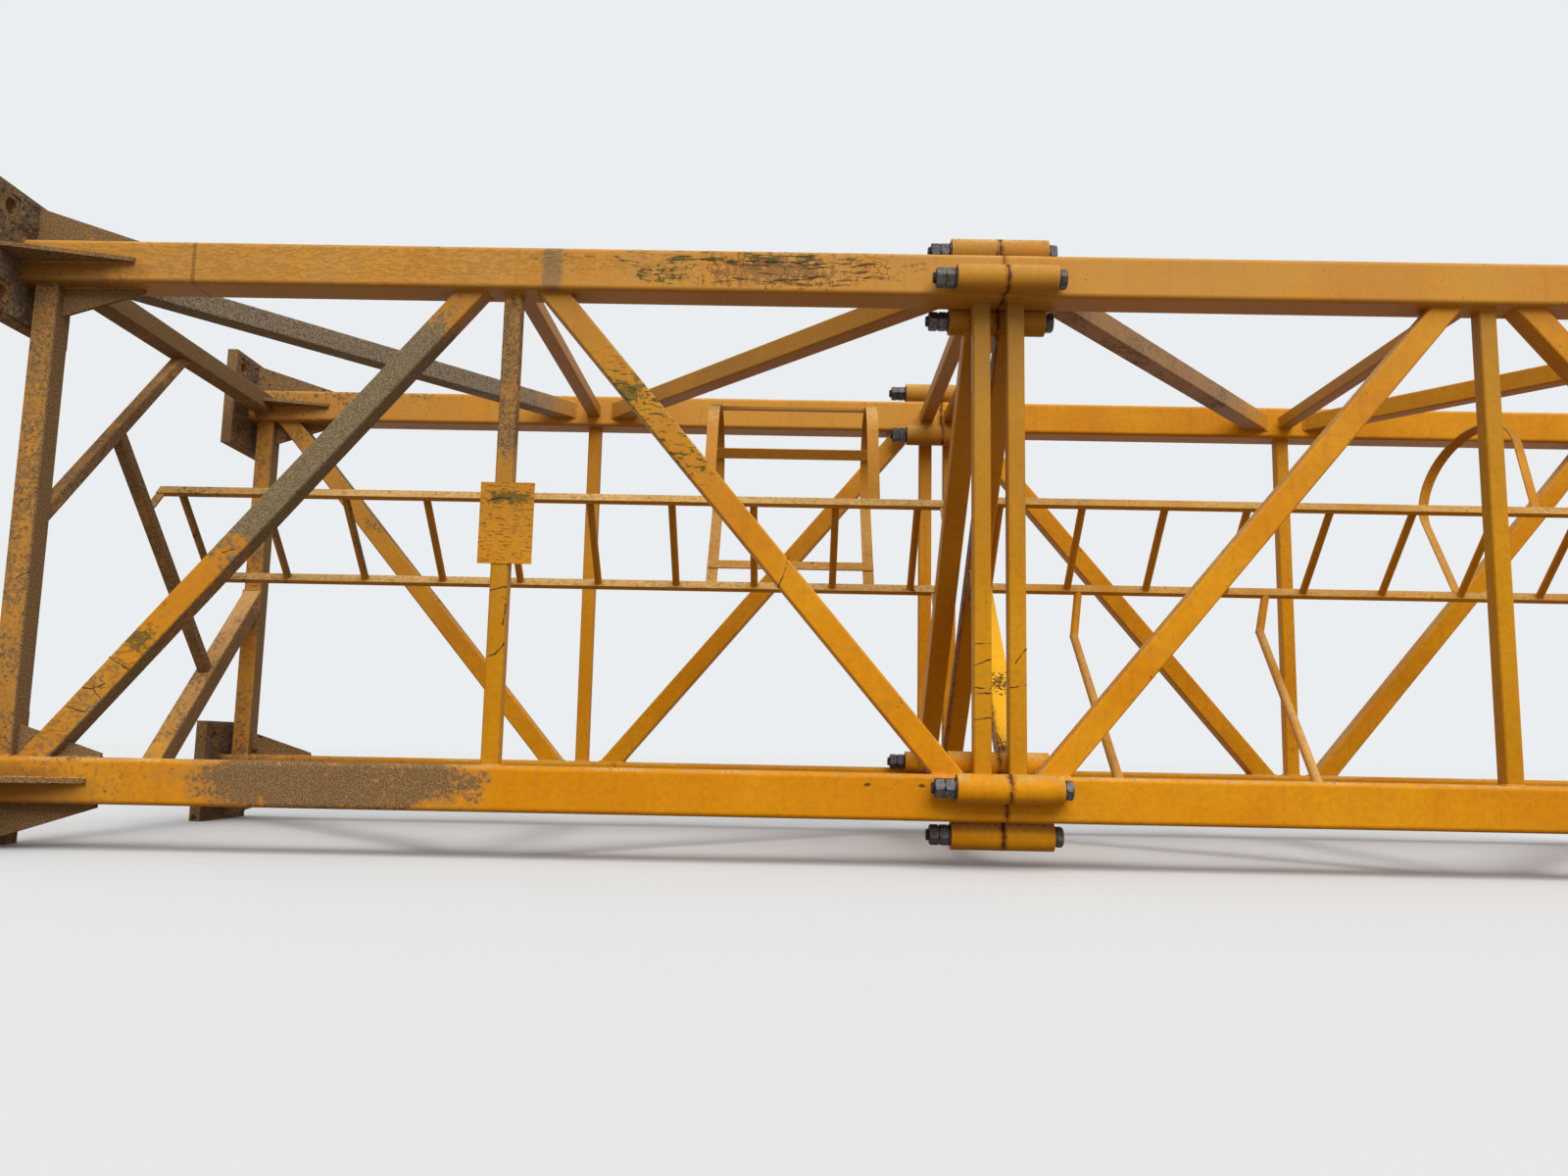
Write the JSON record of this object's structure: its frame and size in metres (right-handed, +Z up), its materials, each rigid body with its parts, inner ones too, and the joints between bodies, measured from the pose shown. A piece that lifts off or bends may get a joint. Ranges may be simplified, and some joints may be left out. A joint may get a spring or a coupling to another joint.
{
  "type": "tower crane mast section pair",
  "caption": "Lattice mast of a tower crane: a base section with foot plates bolted to a standard section, with a ladder and cage inside, lying on its side.",
  "frame": {"origin": "middle of the length and width, at the height of the lowest foot plate edge", "axes": "+X along the mast from the foot plates to the open end, +Y to the rear, +Z up as it lies"},
  "size_m": [5.66, 1.855, 1.855],
  "materials": {
    "mast_paint": "weathered amber-yellow paint over steel, dusty, with rust at welds and joints",
    "foot_paint": "amber-yellow paint under caked soil and rust",
    "ladder_paint": "worn amber-yellow paint",
    "bolt_steel": "dark weathered steel with rust"
  },
  "bodies": {
    "root": {"base_chord_front_top": "mast_paint", "base_chord_front_bottom": "mast_paint", "base_chord_rear_bottom": "mast_paint", "base_chord_rear_top": "mast_paint", "upper_chord_front_top": "mast_paint", "upper_chord_front_bottom": "mast_paint", "upper_chord_rear_bottom": "mast_paint", "upper_chord_rear_top": "mast_paint", "base_front_posts": "mast_paint", "base_bottom_struts": "mast_paint", "base_rear_posts": "mast_paint", "base_top_struts": "mast_paint", "upper_front_posts": "mast_paint", "upper_bottom_struts": "mast_paint", "upper_rear_posts": "mast_paint", "upper_top_struts": "mast_paint", "base_front_diagonals": "mast_paint", "base_bottom_diagonals": "mast_paint", "base_rear_diagonals": "mast_paint", "base_top_diagonals": "mast_paint", "upper_front_diagonals": "mast_paint", "upper_bottom_diagonals": "mast_paint", "upper_rear_diagonals": "mast_paint", "upper_top_diagonals": "mast_paint", "foot_front_top": "foot_paint", "foot_front_bottom": "foot_paint", "foot_rear_bottom": "foot_paint", "foot_rear_top": "foot_paint", "foot_knee_braces": "foot_paint", "foot_tie": "foot_paint", "base_joint_brace": "mast_paint", "upper_end_braces": "mast_paint", "joint_sleeves_base": "mast_paint", "joint_sleeves_upper": "mast_paint", "end_sleeves": "mast_paint", "joint_bolts": "bolt_steel", "base_ladder_rails": "ladder_paint", "base_ladder_rungs": "ladder_paint", "base_ladder_brackets": "ladder_paint", "upper_ladder_rails": "ladder_paint", "upper_ladder_rungs": "ladder_paint", "upper_ladder_brackets": "ladder_paint", "cage_hoops": "ladder_paint", "cage_strips": "ladder_paint", "blank_plate": "mast_paint"}
  },
  "joints": []
}
